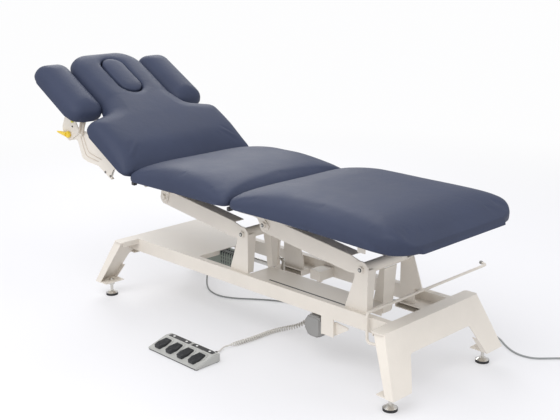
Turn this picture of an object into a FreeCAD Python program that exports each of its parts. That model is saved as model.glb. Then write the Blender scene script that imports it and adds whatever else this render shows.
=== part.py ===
import FreeCAD, Part
import math
import os

# Electric height adjustable treatment couch, modelled in millimetres.
# Working frame: X runs from the head end (-) to the foot end (+), Y across, Z up from the floor.
# ORIGIN moves every piece so that the frame origin is the bottom centre of the whole couch.
ORIGIN = FreeCAD.Vector(157.61, -5.38, 0.0)

# Base frame
RAIL_TOP = 239.4
RAIL_HEIGHT = 52.4
RAIL_WIDTH = 25.0
RAIL_OUTER_Y = 172.0
RAIL_INNER_Y = RAIL_OUTER_Y - RAIL_WIDTH
SHEET = 4.0
END_TOP_X = 695.0
END_BOTTOM_X = 776.0
END_BOTTOM_Z = 57.0
END_TOP_HALF = 250.0
END_FLANGE = 52.0
LEG_OUTER_HALF = 300.0
LEG_INNER_HALF = 208.0
BRIDGE_Z = 160.0
FOOT_X = END_BOTTOM_X - 47.0
FOOT_Y = LEG_OUTER_HALF - 46.0
FOOT_RADIUS = 24.0
FOOT_BORE = 6.0

# Lift linkage
PIVOT_Z = 382.0
PIVOT_A_X = -44.0
PIVOT_B_X = 516.0
ARM_LENGTH = 452.0
ARM_ANGLE = 7.4
ARM_HALF = 30.0
ARM_FLANGE = 22.0
NEAR_PLATE_Y = -153.0
PLATE = 5.0
FAR_PLATE_Y = 88.0
SIDE_GAP = 0.5
PIVOT_BOLT = 8.0
RUNNING_FIT = 0.05
OPEN_PIVOT_FIT = 0.6
TUBE_RADIUS = 20.0
TUBE_BORE = 17.0
TOWER_ROUND = 27.0

# Lift drive
DRIVE_Y = 12.0
DRIVE_Z = 222.0
ROD_RADIUS = 9.0
LEVER_PIN_X = -15.0
LEVER_PIN_Z = 208.0
LEVER_PIN_R = 5.0

# Upholstery frame
PAD_UNDER = 529.0
TUBE_TOP = 527.0
TUBE_HEIGHT = 28.0
TUBE_WIDTH = 30.0
SEAT_TUBE_Y = 199.0
WING_TUBE_Y = 230.0
HINGE_Z = 513.0
BACK_HINGE_X = -492.2
LEG_HINGE_X = 50.0
HINGE_PIN = 6.0
BACK_TILT = 30.0

# Pads
PAD_THICK = 62.0
PAD_HALF = 322.0
PAD_SIDE = 28.0
PAD_ROUND = 20.0
CROWN_EDGE = 52.0
CROWN_DROP = 14.0
CROWN_REACH = 172.0
SEAT_X0 = -498.0
SEAT_X1 = 45.0
LEG_X0 = 53.0
LEG_X1 = 806.0
BACK_S0 = 23.0
BACK_S1 = 717.0
BACK_THICK = 60.0
HEAD_HALF = 172.0
HOLE_S0 = 435.0
HOLE_S1 = 664.0
HOLE_HALF = 54.0
REST_S0 = 352.0
REST_S1 = 700.0
REST_T0 = 182.0
REST_T1 = 336.0

# Armrest hardware, in the back section frame
HUB_S = 452.0
HUB_N = -141.0
ARM_PLATE_T = 256.0

# Foot switch
SWITCH_X0 = -173.0
SWITCH_X1 = 91.0
SWITCH_Y0 = -497.0
SWITCH_Y1 = -388.0
PEDAL_COUNT = 4
PEDAL_WIDTH = 50.0
PEDAL_PITCH = 61.0

# Cords
MAINS_R = 3.3
LEAD_R = 2.6
CURLY_R = 9.5
COIL_R = 39.0
COIL_BORE = 24.0
PLUG_LENGTH = 37.0
PLUG_PITCH = 19.0
ROD_START_Z = 164.0
ROD_RUN_Y = -185.0

NODES = {}
BACK = []


def vec(x, y, z):
    return FreeCAD.Vector(x, y, z)


def box(x0, x1, y0, y1, z0, z1):
    return Part.makeBox(x1 - x0, y1 - y0, z1 - z0, vec(x0, y0, z0))


def cyl(x, y, z, radius, length, axis):
    return Part.makeCylinder(radius, length, vec(x, y, z), axis)


def rounded_wire(points, radii, place):
    """Closed outline with arcs at the corners whose radius is over zero."""
    edges = []
    count = len(points)
    starts = []
    ends = []
    mids = []
    for i in range(count):
        p = FreeCAD.Vector(*points[i], 0)
        a = FreeCAD.Vector(*points[i - 1], 0)
        b = FreeCAD.Vector(*points[(i + 1) % count], 0)
        r = radii[i] if isinstance(radii, (list, tuple)) else radii
        u = (a - p).normalize()
        w = (b - p).normalize()
        half = u.getAngle(w) / 2
        if r <= 0:
            starts.append(p)
            ends.append(p)
            mids.append(None)
            continue
        reach = r / math.tan(half)
        axis = (u + w).normalize()
        centre = p + axis * (r / math.sin(half))
        starts.append(p + u * reach)
        ends.append(p + w * reach)
        mids.append(centre - axis * r)
    for i in range(count):
        j = (i + 1) % count
        if mids[i] is not None:
            edges.append(Part.Arc(place(starts[i]), place(mids[i]), place(ends[i])).toShape())
        if (ends[i] - starts[j]).Length > 0.001:
            edges.append(Part.LineSegment(place(ends[i]), place(starts[j])).toShape())
    return Part.Wire(edges)


def prism_xz(points, y0, y1, radii=0):
    """Outline in X and Z pushed along Y."""
    wire = rounded_wire(points, radii, lambda p: vec(p.x, y0, p.y))
    return Part.Face(wire).extrude(vec(0, y1 - y0, 0))


def prism_yz(points, x0, x1, radii=0):
    """Outline in Y and Z pushed along X."""
    wire = rounded_wire(points, radii, lambda p: vec(x0, p.x, p.y))
    return Part.Face(wire).extrude(vec(x1 - x0, 0, 0))


def prism_xy(points, z0, z1, radii=0):
    """Outline in X and Y pushed along Z."""
    wire = rounded_wire(points, radii, lambda p: vec(p.x, p.y, z0))
    return Part.Face(wire).extrude(vec(0, 0, z1 - z0))


def union(shapes):
    body = shapes[0]
    if len(shapes) > 1:
        body = body.fuse(shapes[1:])
    return body.removeSplitter()


def tube_box(x0, x1, y0, y1, z0, z1, wall, axis):
    outer = box(x0, x1, y0, y1, z0, z1)
    if axis == "x":
        inner = box(x0 - 1, x1 + 1, y0 + wall, y1 - wall, z0 + wall, z1 - wall)
    else:
        inner = box(x0 + wall, x1 - wall, y0 - 1, y1 + 1, z0 + wall, z1 - wall)
    return outer.cut(inner)


def add(name, shape):
    NODES[name] = shape


def many(shapes):
    return Part.makeCompound(shapes)


def half_turn(shape):
    copy = shape.copy()
    copy.rotate(vec(0, 0, 0), vec(0, 0, 1), 180)
    return copy


def mirror_y(shape):
    return shape.mirror(vec(0, 0, 0), vec(0, 1, 0))


def back_place(shape):
    """Moves a piece from the flat back section frame (X = -s, Z = n) to its tilted place."""
    moved = shape.copy()
    moved.translate(vec(BACK_HINGE_X - 18.25, 0, PAD_UNDER))
    moved.rotate(vec(BACK_HINGE_X, 0, HINGE_Z), vec(0, 1, 0), BACK_TILT)
    return moved


# End frames

def slab_x(z):
    """Outer face of the foot end plate at the height z."""
    return END_TOP_X + (END_BOTTOM_X - END_TOP_X) * (RAIL_TOP - z) / (RAIL_TOP - END_BOTTOM_Z)


def end_slab(x_in, thickness):
    """Leaning slab, x_in millimetres inward of the outer face of the foot end plate."""
    reach = LEG_OUTER_HALF + 20
    return prism_xz([(END_TOP_X - x_in, RAIL_TOP), (END_BOTTOM_X - x_in, END_BOTTOM_Z),
                     (END_BOTTOM_X - x_in - thickness, END_BOTTOM_Z),
                     (END_TOP_X - x_in - thickness, RAIL_TOP)], -reach, reach)


def end_frame():
    near_x = END_TOP_X - 95
    past_x = END_BOTTOM_X + 24
    flange_half = END_TOP_HALF + 8
    lip_half = END_TOP_HALF - SHEET
    reach = LEG_OUTER_HALF + 20
    outline = prism_yz([(-END_TOP_HALF, RAIL_TOP), (-LEG_OUTER_HALF, END_BOTTOM_Z),
                        (-LEG_INNER_HALF, END_BOTTOM_Z), (-182, 111), (-160, BRIDGE_Z),
                        (160, BRIDGE_Z), (182, 111), (LEG_INNER_HALF, END_BOTTOM_Z),
                        (LEG_OUTER_HALF, END_BOTTOM_Z), (END_TOP_HALF, RAIL_TOP)],
                       near_x, past_x, [0, 4, 4, 0, 14, 14, 0, 4, 4, 0])
    plate = outline.common(end_slab(0, SHEET))
    x_in = END_TOP_X - END_FLANGE
    flange = prism_xy([(x_in, -flange_half), (END_TOP_X - 1, -flange_half),
                       (END_TOP_X - 1, flange_half), (x_in, flange_half)],
                      RAIL_TOP - SHEET, RAIL_TOP, [12, 10, 10, 12])
    lip = box(x_in, x_in + SHEET, -lip_half, -RAIL_OUTER_Y - 1, RAIL_TOP - 20, RAIL_TOP - 1)
    lip_far = box(x_in, x_in + SHEET, RAIL_OUTER_Y + 1, lip_half, RAIL_TOP - 20, RAIL_TOP - 1)
    parts = [plate, flange, lip, lip_far]
    for side in (-1, 1):
        edge = prism_yz([(side * END_TOP_HALF, RAIL_TOP), (side * LEG_OUTER_HALF, END_BOTTOM_Z),
                         (side * (LEG_OUTER_HALF - SHEET), END_BOTTOM_Z),
                         (side * (END_TOP_HALF - SHEET), RAIL_TOP)], near_x, past_x)
        depth = prism_xz([(END_TOP_X - 1, RAIL_TOP), (END_BOTTOM_X - 1, END_BOTTOM_Z),
                          (END_BOTTOM_X - 32, END_BOTTOM_Z), (END_TOP_X - 45, RAIL_TOP)], -reach, reach)
        parts.append(edge.common(depth))
        inner = prism_yz([(side * 182, 111), (side * LEG_INNER_HALF, END_BOTTOM_Z),
                          (side * (LEG_INNER_HALF + SHEET), END_BOTTOM_Z),
                          (side * (182 + SHEET), 111)], near_x, past_x)
        shallow = prism_xz([(END_TOP_X - 1, RAIL_TOP), (END_BOTTOM_X - 1, END_BOTTOM_Z),
                            (END_BOTTOM_X - 22, END_BOTTOM_Z), (END_TOP_X - 22, RAIL_TOP)], -reach, reach)
        parts.append(inner.common(shallow))
        y0 = LEG_INNER_HALF + 1
        y1 = LEG_OUTER_HALF - 3
        foot = box(FOOT_X - 23, END_BOTTOM_X - 5, min(side * y0, side * y1), max(side * y0, side * y1),
                   END_BOTTOM_Z, END_BOTTOM_Z + SHEET)
        bore = cyl(FOOT_X, side * FOOT_Y, END_BOTTOM_Z - 1, FOOT_BORE, 10, vec(0, 0, 1))
        parts.append(foot.cut(bore))
    bridge_x = slab_x(BRIDGE_Z)
    lower = box(bridge_x - 30, bridge_x + 5, -150, 150, BRIDGE_Z, BRIDGE_Z + SHEET)
    parts.append(lower.common(end_slab(1, 26)))
    return union(parts)


def end_clear():
    """Everything outside the inner face of the foot end plate, used to trim what meets it."""
    far_x = END_BOTTOM_X + 124
    reach = LEG_OUTER_HALF + 30
    return prism_xz([(END_TOP_X - SHEET, RAIL_TOP + 40), (END_TOP_X - SHEET, RAIL_TOP),
                     (END_BOTTOM_X - SHEET, END_BOTTOM_Z), (far_x, END_BOTTOM_Z),
                     (far_x, RAIL_TOP + 40)], -reach, reach)


def build_ends():
    frame = end_frame()
    outside = end_clear()
    start = slab_x(ROD_START_Z) - 78.5
    socket = cyl(start, ROD_RUN_Y, ROD_START_Z, 9, 90, vec(1, 0, 0)).cut(outside)
    socket = socket.cut(cyl(start - 10, ROD_RUN_Y, ROD_START_Z, 5, 80, vec(1, 0, 0)))
    add("foot_end_frame", union([frame, socket]))
    add("head_end_frame", half_turn(frame))
    studs = []
    rings = []
    for sx in (-1, 1):
        for sy in (-1, 1):
            x = sx * FOOT_X
            y = sy * FOOT_Y
            stud = cyl(x, y, 9, FOOT_BORE, 63, vec(0, 0, 1))
            disc = Part.makeCone(FOOT_RADIUS - 1, 13, 8, vec(x, y, 9), vec(0, 0, 1))
            nut = hexagon(x, y, 12, 44, 57)
            top = hexagon(x, y, 11, 61, 68)
            studs.append(union([stud, disc, nut, top]))
            ring = cyl(x, y, 0, FOOT_RADIUS, 9, vec(0, 0, 1))
            rings.append(ring)
    add("foot_studs", many(studs))
    add("foot_pads", many(rings))


def hexagon(x, y, radius, z0, z1):
    points = []
    for i in range(6):
        a = math.radians(60 * i)
        points.append((x + radius * math.cos(a), y + radius * math.sin(a)))
    return prism_xy(points, z0, z1)


def hex_head(x, z, radius, y0, y1):
    points = []
    for i in range(6):
        a = math.radians(60 * i + 30)
        points.append((x + radius * math.cos(a), z + radius * math.sin(a)))
    return prism_xz(points, y0, y1)


# Rails, tray and cover

def build_base():
    outside = end_clear()
    inside_head = half_turn(outside)
    x_in = END_TOP_X - END_FLANGE
    for name, y0 in (("near_rail", -RAIL_OUTER_Y), ("far_rail", RAIL_INNER_Y)):
        rail = tube_box(-END_BOTTOM_X, END_BOTTOM_X, y0, y0 + RAIL_WIDTH, RAIL_TOP - RAIL_HEIGHT, RAIL_TOP, 2.5, "x")
        rail = rail.cut(outside).cut(inside_head)
        seat = box(x_in, END_BOTTOM_X + 5, y0 - 5, y0 + RAIL_WIDTH + 5, RAIL_TOP - SHEET, RAIL_TOP + 1)
        rail = rail.cut(seat).cut(half_turn(seat)).cut(mirror_y(half_turn(seat)))
        add(name, rail)
    cover = box(-x_in, -295, -RAIL_INNER_Y, RAIL_INNER_Y, RAIL_TOP - 3, RAIL_TOP)
    lip = box(-298, -295, -RAIL_INNER_Y, RAIL_INNER_Y, RAIL_TOP - 18, RAIL_TOP)
    lip = lip.cut(box(-300, -290, DRIVE_Y - 54, DRIVE_Y + 28, RAIL_TOP - 20, RAIL_TOP - 2.5))
    add("deck_cover", union([cover, lip]))
    sheet = prism_xy([(-10, -RAIL_INNER_Y), (525, -RAIL_INNER_Y), (525, -38.5), (-10, -38.5)],
                     RAIL_TOP - 3, RAIL_TOP, [0, 0, 8, 8])
    fold = box(0, 515, -42.5, -38.5, RAIL_TOP - 48, RAIL_TOP - 1)
    slot = box(88, 451, -RAIL_INNER_Y - 1, -RAIL_INNER_Y + 4, RAIL_TOP - 5, RAIL_TOP + 1)
    tray = union([sheet, fold]).cut(slot)
    add("tray", tray)
    beam = tube_box(-455, -425, -RAIL_INNER_Y, RAIL_INNER_Y, 190, 220, 2.5, "y")
    ear = prism_xz([(-425, 206), (-398, 206), (-398, 238), (-425, 219)], DRIVE_Y - 4, DRIVE_Y + 4,
                   [0, 8, 8, 0])
    add("rear_beam", beam)
    shelves = []
    for x0, x1 in ((-72, 40), (485, 610)):
        shelves.append(tube_box(x0, x1, 70, RAIL_INNER_Y, 187, 209, 2.5, "y"))
    add("tower_shelves", many(shelves))


# Lift towers and linkage

def near_tower(px):
    plate = prism_xz([(px + 28, RAIL_TOP), (px + 28, PIVOT_Z + TOWER_ROUND),
                      (px - 28, PIVOT_Z + TOWER_ROUND), (px - 28, 350), (px - 66, RAIL_TOP)],
                     NEAR_PLATE_Y, NEAR_PLATE_Y + PLATE, [0, 26, 26, 0, 0])
    flange = prism_yz([(NEAR_PLATE_Y + 1, RAIL_TOP), (-126, RAIL_TOP), (-112, 380),
                       (-125, PIVOT_Z + 2), (NEAR_PLATE_Y + 1, PIVOT_Z + 2)],
                      px + 24, px + 28, [0, 0, 10, 0, 0])
    toe = box(px - 60, px + 27, NEAR_PLATE_Y, -127, RAIL_TOP, RAIL_TOP + SHEET)
    body = union([plate, flange, toe])
    return body.cut(cyl(px, NEAR_PLATE_Y - 1, PIVOT_Z, PIVOT_BOLT, 8, vec(0, 1, 0)))


def far_tower(px, notch):
    points = [(px - 26, 209), (px - 26, PIVOT_Z + TOWER_ROUND), (px + 26, PIVOT_Z + TOWER_ROUND),
              (px + 26, 380), (px + 67, 268)]
    radii = [0, 25, 25, 0, 0]
    if notch:
        points += [(px + 36, 266), (px + 36, 209)]
        radii += [0, 0]
    else:
        points += [(px + 75, 240), (px + 75, 209)]
        radii += [0, 0]
    plate = prism_xz(points, FAR_PLATE_Y, FAR_PLATE_Y + PLATE, radii)
    flange = prism_yz([(FAR_PLATE_Y + 1, 209), (FAR_PLATE_Y + 30, 209), (FAR_PLATE_Y + 38, 372),
                       (FAR_PLATE_Y + 1, 384)], px - 26, px - 22, [0, 0, 8, 0])
    toe = box(px - 25, px + 30, FAR_PLATE_Y, FAR_PLATE_Y + 28, 209, 209 + SHEET)
    body = union([plate, flange, toe])
    return body.cut(cyl(px, FAR_PLATE_Y - 1, PIVOT_Z, PIVOT_BOLT, 8, vec(0, 1, 0)))


def arm(px, near):
    """Channel arm drawn level towards the head end, then turned up about its lower pivot."""
    length = ARM_LENGTH
    outline = [(0, -21), (60, -ARM_HALF), (length + 26, -ARM_HALF), (length + 26, ARM_HALF),
               (60, ARM_HALF), (0, 21), (-21, 21), (-21, -21)]
    points = []
    for u, w in outline:
        points.append((px - u, PIVOT_Z + w))
    if near:
        web0 = NEAR_PLATE_Y + PLATE + SIDE_GAP
        web1 = web0 + SHEET
        f0 = web1 - 1
        f1 = web1 + ARM_FLANGE
    else:
        web1 = FAR_PLATE_Y - SIDE_GAP
        web0 = web1 - SHEET
        f1 = web0 + 1
        f0 = web0 - ARM_FLANGE
    web = prism_xz(points, web0, web1, [0, 0, 22, 22, 0, 0, 18, 18])
    parts = [web]
    for side in (-1, 1):
        z0 = PIVOT_Z + side * ARM_HALF
        z1 = z0 - side * SHEET
        parts.append(box(px - length - 4, px - 60, f0, f1, min(z0, z1), max(z0, z1)))
    body = union(parts)
    for u, r in ((0, PIVOT_BOLT + RUNNING_FIT), (length, upper_bore(px))):
        body = body.cut(cyl(px - u, web0 - 1, PIVOT_Z, r, SHEET + 2, vec(0, 1, 0)))
    body.rotate(vec(px, 0, PIVOT_Z), vec(0, 1, 0), ARM_ANGLE)
    return body


def upper_bore(px):
    if px == PIVOT_A_X:
        return PIVOT_BOLT + RUNNING_FIT
    return PIVOT_BOLT + OPEN_PIVOT_FIT


def upper_pivot(px):
    a = math.radians(ARM_ANGLE)
    return px - ARM_LENGTH * math.cos(a), PIVOT_Z + ARM_LENGTH * math.sin(a)


def cross_tube(x, z, bore):
    y0 = NEAR_PLATE_Y + PLATE + SIDE_GAP + SHEET
    y1 = FAR_PLATE_Y - SIDE_GAP - SHEET
    outer = cyl(x, y0, z, TUBE_RADIUS, y1 - y0, vec(0, 1, 0))
    inner = cyl(x, y0 + 24, z, TUBE_BORE, y1 - y0 - 48, vec(0, 1, 0))
    through = cyl(x, y0 - 1, z, bore, y1 - y0 + 2, vec(0, 1, 0))
    return outer.cut(inner).cut(through)


def pivot_bolts(points, y_near, y_far):
    """Shoulder bolts through the outer plates into the ends of a cross tube."""
    bolts = []
    for x, z in points:
        near = cyl(x, y_near, z, PIVOT_BOLT, 28, vec(0, 1, 0))
        head = hex_head(x, z, 12.5, y_near - 8, y_near)
        bolts.append(union([near, head]))
        far = cyl(x, y_far - 28, z, PIVOT_BOLT, 28, vec(0, 1, 0))
        head = hex_head(x, z, 12.5, y_far, y_far + 8)
        bolts.append(union([far, head]))
    return many(bolts)


def lift_lever():
    x = PIVOT_A_X
    saddle = cyl(x, -60, PIVOT_Z, TUBE_RADIUS, 120, vec(0, 1, 0))
    near = prism_xz([(x - 20, PIVOT_Z), (x - 8, 357), (-30, 232), (-27, 194), (-3, 194), (-5, 232),
                     (x + 31, 357), (x + 22, PIVOT_Z)], -38, -34, [0, 0, 0, 9, 9, 0, 0, 0])
    far = near.copy()
    far.translate(vec(0, 37, 0))
    front = prism_yz([(-37, 236), (0, 236), (17, 357), (17, PIVOT_Z), (-37, PIVOT_Z)],
                     x + 27, x + 31)
    pin = cyl(LEVER_PIN_X, -36, LEVER_PIN_Z, LEVER_PIN_R, 55, vec(0, 1, 0))
    return union([near, far, front, pin]).cut(saddle)


def mid_bracket():
    plate = prism_xz([(470, 200), (520, 200), (520, 358), (501, 358), (498, 345)], -38.5, -34.5)
    flange = prism_yz([(-37, 200), (9, 200), (28, 358), (-37, 358)], 516, 520, [0, 12, 0, 0])
    return union([plate, flange]).cut(cyl(PIVOT_B_X, -60, PIVOT_Z, TUBE_RADIUS + 3, 120, vec(0, 1, 0)))


def build_lift():
    add("near_tower_a", near_tower(PIVOT_A_X))
    add("near_tower_b", near_tower(PIVOT_B_X))
    add("far_tower_a", far_tower(PIVOT_A_X, False))
    add("far_tower_b", far_tower(PIVOT_B_X, True))
    add("mid_bracket", mid_bracket())
    low = [(PIVOT_A_X, PIVOT_Z), (PIVOT_B_X, PIVOT_Z)]
    add("lower_pivot_bolts", pivot_bolts(low, NEAR_PLATE_Y, FAR_PLATE_Y + PLATE))
    for tag, px in (("a", PIVOT_A_X), ("b", PIVOT_B_X)):
        add("arm_%s_near" % tag, arm(px, True))
        add("arm_%s_far" % tag, arm(px, False))
        ux, uz = upper_pivot(px)
        add("arm_%s_tubes" % tag, many([cross_tube(px, PIVOT_Z, PIVOT_BOLT + RUNNING_FIT),
                                        cross_tube(ux, uz, upper_bore(px))]))
    add("lift_lever", lift_lever())
    high = [upper_pivot(PIVOT_A_X), upper_pivot(PIVOT_B_X)]
    add("upper_pivot_bolts", pivot_bolts(high, NEAR_PLATE_Y, FAR_PLATE_Y + PLATE))


def build_drive():
    tube = cyl(-398, DRIVE_Y, DRIVE_Z, 14, 208, vec(1, 0, 0))
    bore = cyl(-394, DRIVE_Y, DRIVE_Z, ROD_RADIUS + 0.5, 210, vec(1, 0, 0))
    gear = box(-425, -388, -30, 30, 198, 235).cut(box(-430, -424, -40, 40, 190, 221))
    motor = prism_yz([(-38, 160), (-6, 160), (-6, 236), (-38, 236)], -400, -205, [14, 14, 10, 10])
    link = box(-215, -195, -20, DRIVE_Y, 212, 232)
    motor = union([tube, gear, motor, link]).cut(bore)
    add("lift_motor", motor)
    rod = cyl(-249, DRIVE_Y, DRIVE_Z, ROD_RADIUS, 214, vec(1, 0, 0))
    yoke = prism_xz([(-42, 190), (7, 190), (7, 264), (-42, 264)], DRIVE_Y - 3, DRIVE_Y + 3, 10)
    slot = prism_xz([(-25, 197), (-5, 197), (-5, 257), (-25, 257)], DRIVE_Y - 4, DRIVE_Y + 4, 9)
    rod = rod.cut(box(-38, 0, -10, 40, 180, 270))
    add("lift_rod", union([rod, yoke]).cut(slot))


# Upholstery frames

def side_tube(x0, x1, y, holes):
    parts = []
    for side in (-1, 1):
        c = side * y
        tube = tube_box(x0, x1, c - TUBE_WIDTH / 2, c + TUBE_WIDTH / 2,
                        TUBE_TOP - TUBE_HEIGHT, TUBE_TOP, 2.5, "x")
        for x, r in holes:
            bush = cyl(x, c - TUBE_WIDTH / 2, HINGE_Z, r + 3, TUBE_WIDTH, vec(0, 1, 0))
            tube = tube.fuse(bush)
            tube = tube.cut(cyl(x, c - TUBE_WIDTH, HINGE_Z, r, 2 * TUBE_WIDTH, vec(0, 1, 0)))
        parts.append(tube)
    return parts


def cross(x0, x1, half):
    return tube_box(x0, x1, -half, half, TUBE_TOP - TUBE_HEIGHT, TUBE_TOP, 2.5, "y")


def tabs(points, w=18.0):
    pieces = []
    for x, y in points:
        pieces.append(box(x - w, x + w, y - 12, y + 12, TUBE_TOP - 1, PAD_UNDER))
    return pieces


def lug(x, z, top, y0):
    outline = [(x - 22, z), (x - 22, z - 22), (x + 22, z - 22), (x + 22, z)]
    outline += [(top[1], TUBE_TOP - TUBE_HEIGHT), (top[0], TUBE_TOP - TUBE_HEIGHT)]
    plate = prism_xz(outline, y0, y0 + PLATE, [0, 20, 20, 0, 0, 0])
    return plate.cut(cyl(x, y0 - 1, z, PIVOT_BOLT, PLATE + 2, vec(0, 1, 0)))


def build_seat():
    inner = SEAT_TUBE_Y - TUBE_WIDTH / 2
    parts = side_tube(-505, 64, SEAT_TUBE_Y, [(BACK_HINGE_X, HINGE_PIN), (LEG_HINGE_X, HINGE_PIN)])
    parts.append(cross(-478, -448, inner))
    parts.append(cross(4, 34, inner))
    ax, az = upper_pivot(PIVOT_A_X)
    bx, bz = upper_pivot(PIVOT_B_X)
    for y0 in (NEAR_PLATE_Y, FAR_PLATE_Y):
        parts.append(lug(ax, az, (-476, -450), y0))
        parts.append(lug(bx, bz, (6, 36), y0))
    anchor = box(-160, -120, 150, inner + 1, TUBE_TOP - TUBE_HEIGHT, TUBE_TOP)
    hanger = box(-142, -138, 150, 175, 438, TUBE_TOP - TUBE_HEIGHT + 1)
    parts += [anchor, hanger]
    parts += tabs([(-400, -SEAT_TUBE_Y), (-400, SEAT_TUBE_Y), (-60, -SEAT_TUBE_Y), (-60, SEAT_TUBE_Y)])
    add("seat_frame", union(parts))
    pins = []
    for x in (BACK_HINGE_X, LEG_HINGE_X):
        for side in (-1, 1):
            y0 = side * (inner - 1)
            pin = cyl(x, y0, HINGE_Z, HINGE_PIN, 63, vec(0, side, 0))
            head = cyl(x, y0, HINGE_Z, HINGE_PIN + 4, 3, vec(0, -side, 0))
            head.translate(vec(0, side * 1.0, 0))
            pins.append(union([pin, head]))
    add("hinge_pins", many(pins))
    y = 161.0
    z = 452.0
    housing = prism_yz([(y - 23, z - 23), (y + 20, z - 23), (y + 20, z + 23), (y - 23, z + 23)],
                       -250, -142, 10)
    tube = cyl(-420, y, z, 15, 200, vec(1, 0, 0))
    bore = cyl(-425, y, z, 8.5, 170, vec(1, 0, 0))
    add("back_motor", union([housing, tube]).cut(bore))
    eye = eye_plate(-498.5, 449.6)
    shaft = union([cyl(-486, y, z, 4, 40, vec(1, 0, 0)), cyl(-456, y, z, 8, 148, vec(1, 0, 0))])
    add("back_rod", union([eye, shaft]).cut(eye_hole(-498.5, 449.6)))
    z2 = 455.0
    spring = cyl(-138, y, z2, 11, 120, vec(1, 0, 0))
    bore = cyl(-120, y, z2, 5.5, 110, vec(1, 0, 0))
    add("leg_spring", spring.cut(bore))
    eye = eye_plate(39.6, 454.9)
    shaft = cyl(-75, y, z2, 5, 98, vec(1, 0, 0))
    add("leg_rod", union([eye, shaft]).cut(eye_hole(39.6, 454.9)))


def eye_plate(x, z):
    return cyl(x, 158, z, 17, 6, vec(0, 1, 0))


def eye_hole(x, z):
    return cyl(x, 150, z, 10.5, 20, vec(0, 1, 0))


def crown(edge, side):
    """Points of a soft pad edge: upright side, shoulder and the long slope up to the flat top."""
    top = PAD_UNDER + PAD_THICK
    return [(edge, PAD_UNDER), (edge, PAD_UNDER + PAD_SIDE), (edge - side * CROWN_EDGE, top - CROWN_DROP),
            (edge - side * CROWN_REACH, top)]


def pad_block(x0, x1, r0, r1, corner0, corner1):
    """Rounded pad: plan, long profile and cross profile meet in one block."""
    top = PAD_UNDER + PAD_THICK
    plan = prism_xy([(x0, -PAD_HALF), (x1, -PAD_HALF), (x1, PAD_HALF), (x0, PAD_HALF)],
                    PAD_UNDER, top, [corner0, corner1, corner1, corner0])
    if r1 > 0:
        end = [(x1, PAD_UNDER), (x1, top)]
        radii = [1.5, 1.5, r1, r0]
    else:
        end = crown(x1, 1)
        radii = [1.5, 8, PAD_ROUND, 0, 0, r0]
    side = prism_xz([(x0, PAD_UNDER)] + end + [(x0, top)], -PAD_HALF - 5, PAD_HALF + 5, radii)
    half = crown(PAD_HALF, 1) + list(reversed(crown(-PAD_HALF, -1)))
    section = prism_yz(half, x0 - 5, x1 + 5, [8, PAD_ROUND, 0, 0, 0, 0, PAD_ROUND, 8])
    return plan.common(section).common(side)


def build_pads():
    add("seat_pad", pad_block(SEAT_X0, SEAT_X1, 30, 32, 40, 40))
    add("leg_pad", pad_block(LEG_X0, LEG_X1, 59, 0, 45, 70))


def build_leg():
    parts = side_tube(38, 765, WING_TUBE_Y, [(LEG_HINGE_X, HINGE_PIN + RUNNING_FIT)])
    inner = WING_TUBE_Y - TUBE_WIDTH / 2
    parts.append(cross(80, 110, inner))
    parts.append(cross(725, 755, inner))
    parts += tabs([(160, -WING_TUBE_Y), (160, WING_TUBE_Y), (650, -WING_TUBE_Y), (650, WING_TUBE_Y)])
    lever = prism_xz([(82, 500), (108, 500), (52, 442), (30, 444), (29, 463), (60, 482)],
                     150, 156, [0, 0, 8, 8, 6, 0])
    pin = cyl(39.6, 151, 454.9, 5, 17, vec(0, 1, 0))
    clip = box(575, 605, -245, -241, 476, 500)
    parts += [lever, pin, clip]
    add("leg_frame", union(parts))


# Back section, drawn flat with X = -s and Z = n

def flat(points):
    result = []
    for s, n in points:
        result.append((-s, n))
    return result


def back_box(s0, s1, t0, t1, n0, n1):
    return box(-s1, -s0, t0, t1, n0, n1)


def back_outline():
    side = [(5, PAD_HALF), (268, PAD_HALF), (400, HEAD_HALF), (BACK_S1, HEAD_HALF)]
    points = []
    for s, t in side:
        points.append((-s, t))
    for s, t in reversed(side):
        points.append((-s, -t))
    return points, [25, 45, 110, 70, 70, 110, 45, 25]


def build_back():
    points, radii = back_outline()
    body = prism_xy(points, 0, BACK_THICK, radii)
    edges = []
    for edge in body.Edges:
        box_e = edge.BoundBox
        if box_e.ZMin > BACK_THICK - 0.1:
            edges.append(edge)
    body = body.makeFillet(22, edges)
    side = prism_xz([(-BACK_S0, 0), (-BACK_S0, BACK_THICK), (-BACK_S1 - 5, BACK_THICK),
                     (-BACK_S1 - 5, 0)], -PAD_HALF - 5, PAD_HALF + 5, [1.5, 58, 0, 0])
    body = body.common(side)
    hole = oval(HOLE_S0, HOLE_S1, HOLE_HALF, -5, BACK_THICK + 5)
    body = body.cut(hole)
    add("back_pad", back_place(body))
    plug = oval(HOLE_S0 + 1, HOLE_S1 - 1, HOLE_HALF - 1, 0, BACK_THICK)
    rim = []
    for edge in plug.Edges:
        if edge.BoundBox.ZMin > BACK_THICK - 0.1:
            rim.append(edge)
    plug = plug.makeFillet(8, rim)
    add("face_plug", back_place(plug))
    add("back_frame", back_place(back_frame()))
    near = side_arm()
    add("side_arm_near", back_place(near))
    add("side_arm_far", back_place(mirror_y(near)))
    near = rest_bracket()
    add("rest_bracket_near", back_place(near))
    add("rest_bracket_far", back_place(mirror_y(near)))
    near = rest_pad()
    add("rest_pad_near", back_place(near))
    add("rest_pad_far", back_place(mirror_y(near)))
    near = clamp_lever()
    add("clamp_lever_near", back_place(near))
    add("clamp_lever_far", back_place(mirror_y(near)))


def oval(s0, s1, half, n0, n1):
    r = half - 1
    return prism_xy([(-s0, -half), (-s1, -half), (-s1, half), (-s0, half)], n0, n1, r)


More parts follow.
